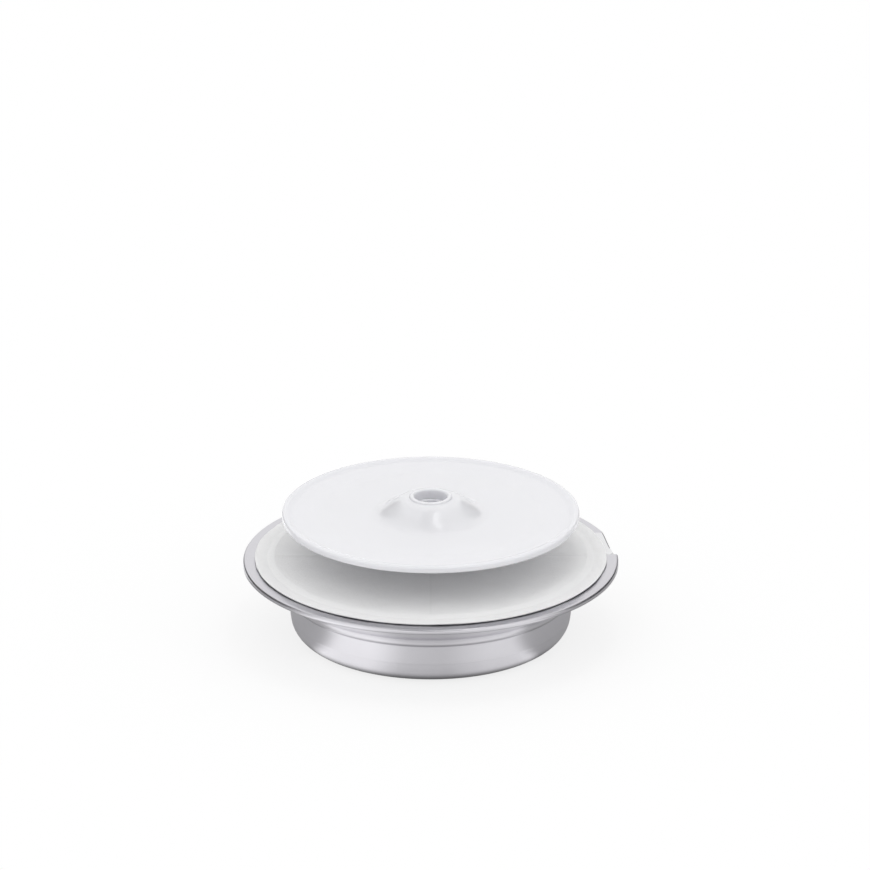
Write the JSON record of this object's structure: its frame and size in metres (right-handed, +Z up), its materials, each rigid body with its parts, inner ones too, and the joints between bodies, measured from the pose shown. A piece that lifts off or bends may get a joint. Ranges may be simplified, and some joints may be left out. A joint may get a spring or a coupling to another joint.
{
  "type": "pet water fountain",
  "caption": "Round steel bowl with a ribbed pump cover, a disc filter lying in its mouth, and a water spreader plate on a screw-in stem with a telescoping riser tube.",
  "frame": {"origin": "centre of the bowl, on the surface it stands on", "axes": "+Z up along the bowl's, stem's and pump's common axis; -Y is the front, and the cord notch in the rim lies 13.5 degrees from +X towards +Y"},
  "size_m": [0.28, 0.28, 0.1104],
  "materials": {
    "steel": "mirror polished inside, satin outside",
    "plate_plastic": "glossy white",
    "stem_plastic": "satin white",
    "cover_plastic": "satin white",
    "tube_plastic": "frosted grey, translucent",
    "seal_rubber": "matte",
    "foot_rubber": "matte, soft",
    "nonwoven": "white non-woven felt",
    "cotton": "loose white wadding",
    "carbon": "granules",
    "resin": "beads",
    "pump_plastic": "fine matte",
    "can_plastic": "fine matte",
    "core_steel": "laminated",
    "copper": "enamelled wire",
    "board": "solder mask",
    "potting_resin": "cast resin",
    "shaft_steel": "ground",
    "magnet": "sintered ferrite",
    "impeller_plastic": "moulded"
  },
  "bodies": {
    "bowl": {"bowl_floor": "steel", "bowl_wall": "steel", "bowl_rim": "steel"},
    "pump": {"pump_shell": "pump_plastic", "inlet_cover": "pump_plastic", "shell_seal": "seal_rubber", "motor_can": "can_plastic", "stator_core": "core_steel", "stator_coils": "copper", "driver_board": "board", "potting": "potting_resin", "motor_shaft": "shaft_steel", "upper_bush": "seal_rubber", "lower_bush": "seal_rubber", "suction_feet": "foot_rubber", "cord_gland": "seal_rubber"},
    "rotor": {"rotor_magnet": "magnet", "impeller": "impeller_plastic"},
    "cover": {"pump_cover": "cover_plastic", "cover_socket": "cover_plastic"},
    "filter": {"filter_top_sheet": "nonwoven", "filter_cup": "nonwoven", "cotton_pad": "cotton", "carbon_bed": "carbon", "resin_bed": "resin"},
    "plate": {"spreader_plate": "plate_plastic", "threaded_stem": "stem_plastic"},
    "tube": {"riser_tube": "tube_plastic", "tube_seal": "seal_rubber"}
  },
  "joints": [
    {"name": "pump_lift", "type": "slide", "parent": "bowl", "child": "pump", "axis": [0, 0, 1], "range_m": [0, 0.055]},
    {"name": "cover_lift", "type": "slide", "parent": "pump", "child": "cover", "axis": [0, 0, 1], "range_m": [0, 0.035]},
    {"name": "filter_lift", "type": "slide", "parent": "cover", "child": "filter", "axis": [0, 0, 1], "range_m": [0, 0.0565]},
    {"name": "plate_lift", "type": "slide", "parent": "filter", "child": "plate", "axis": [0, 0, 1], "range_m": [0, 0.1578]},
    {"name": "tube_slide", "type": "slide", "parent": "plate", "child": "tube", "axis": [0, 0, -1], "range_m": [0, 0.0392]},
    {"name": "rotor_spin", "type": "hinge", "parent": "pump", "child": "rotor", "pos_m": [0, 0, 0.02], "axis": [0, 0, 1], "continuous": true}
  ],
  "couplings": [
    {"joint": "tube_slide", "follows": "plate_lift", "ratio": 0.2484}
  ]
}
